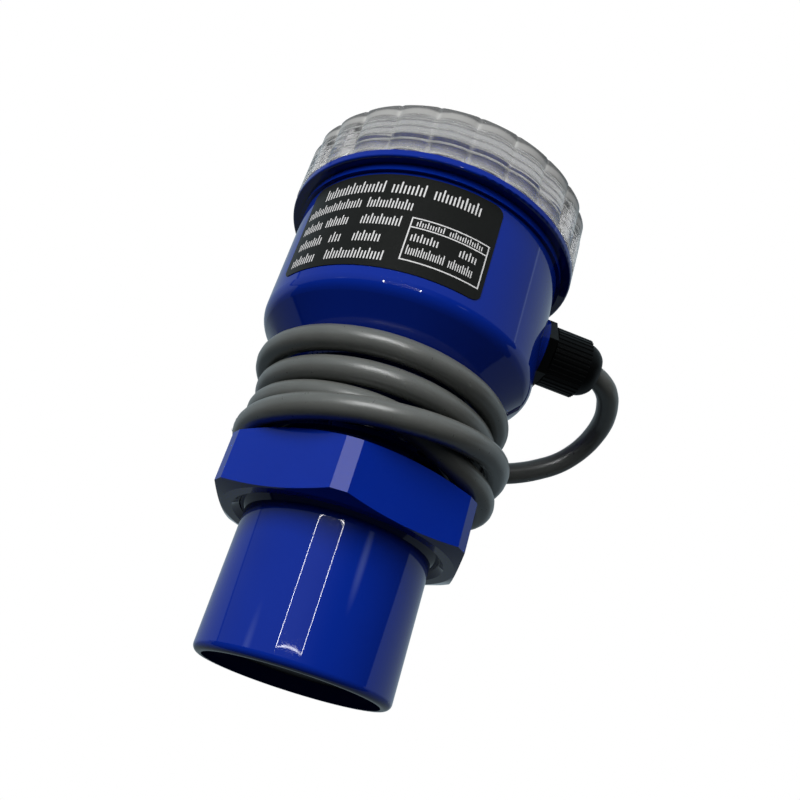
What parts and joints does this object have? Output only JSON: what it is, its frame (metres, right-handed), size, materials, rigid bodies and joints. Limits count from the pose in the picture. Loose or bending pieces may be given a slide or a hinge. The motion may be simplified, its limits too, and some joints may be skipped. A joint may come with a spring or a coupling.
{
  "type": "ultrasonic level sensor",
  "caption": "Ultrasonic level sensor with a smooth probe barrel, threaded neck and lock nut, round bowl, clear screw lid, side cable gland and a cable wound round the neck.",
  "frame": {"origin": "centre of the barrel's rim, on the surface that the sensor stands on", "axes": "+Z along the probe, from the sounding face to the lid; +X along the cable gland, away from the bowl"},
  "size_m": [0.1048, 0.077, 0.1307],
  "materials": {
    "blue_plastic": "glossy moulded",
    "clear_plastic": "clear, slightly frosted",
    "seal_rubber": "matt silicone",
    "label_film": "satin film",
    "black_nylon": "satin",
    "black_rubber": "matt",
    "cable_sheath": "satin",
    "red_core": "satin",
    "black_core": "satin",
    "header_nylon": "satin",
    "board_laminate": "solder mask",
    "screw_steel": "plated",
    "display_plastic": "satin",
    "switch_plastic": "satin",
    "key_red": "satin",
    "key_grey": "satin",
    "face_epoxy": "matt",
    "piezo_ceramic": "matt ceramic",
    "backing_epoxy": "matt",
    "potting_resin": "gloss resin",
    "lead_insulation": "satin"
  },
  "bodies": {
    "sensor": {"housing": "blue_plastic", "label": "label_film", "gland_body": "black_nylon", "gland_locknut": "black_nylon", "cable_tail": "cable_sheath", "cable_loop": "cable_sheath", "cable_coil": "cable_sheath", "core_red": "red_core", "core_black": "black_core", "wire_header": "header_nylon", "circuit_board": "board_laminate", "board_screws": "screw_steel", "display_module": "display_plastic", "button_switches": "switch_plastic", "sounding_face": "face_epoxy", "piezo_disc": "piezo_ceramic", "decoupling_ring": "black_rubber", "backing_block": "backing_epoxy", "potting": "potting_resin", "piezo_leads": "lead_insulation"},
    "lid_ring": {"lid_seal": "seal_rubber"},
    "lid_cap": {"lid": "clear_plastic"},
    "neck_nut": {"lock_nut": "blue_plastic"},
    "gland_sleeve": {"gland_seal": "black_rubber"},
    "gland_cap": {"gland_nut": "black_nylon"},
    "key_set": {"button_set": "key_red"},
    "key_up": {"button_up": "key_grey"},
    "key_down": {"button_down": "key_grey"}
  },
  "joints": [
    {"name": "lid_lift", "type": "slide", "parent": "sensor", "child": "lid_ring", "axis": [0, 0, 1], "range_m": [0, 0.0064]},
    {"name": "lid_turn", "type": "hinge", "parent": "lid_ring", "child": "lid_cap", "pos_m": [0, 0, 0.1161], "axis": [0, 0, 1], "range_deg": [0, 1080]},
    {"name": "nut_turn", "type": "hinge", "parent": "sensor", "child": "neck_nut", "pos_m": [0, 0, 0.0325], "axis": [0, 0, -1], "range_deg": [0, 360]},
    {"name": "gland_back", "type": "slide", "parent": "sensor", "child": "gland_sleeve", "axis": [1, 0, 0], "range_m": [0, 0.0015]},
    {"name": "gland_turn", "type": "hinge", "parent": "gland_sleeve", "child": "gland_cap", "pos_m": [0.0381, 0, 0.099], "axis": [1, 0, 0], "range_deg": [0, 361]},
    {"name": "set_press", "type": "slide", "parent": "sensor", "child": "key_set", "axis": [0, 0, -1], "range_m": [0, 0.0003], "stiffness_N_per_m": 2000},
    {"name": "up_press", "type": "slide", "parent": "sensor", "child": "key_up", "axis": [0, 0, -1], "range_m": [0, 0.0003], "stiffness_N_per_m": 2000},
    {"name": "down_press", "type": "slide", "parent": "sensor", "child": "key_down", "axis": [0, 0, -1], "range_m": [0, 0.0003], "stiffness_N_per_m": 2000}
  ],
  "couplings": [
    {"joint": "lid_lift", "follows": "lid_turn", "m_per_rad": 0.00033423},
    {"joint": "gland_turn", "follows": "gland_back", "rad_per_m": 4188.8}
  ]
}
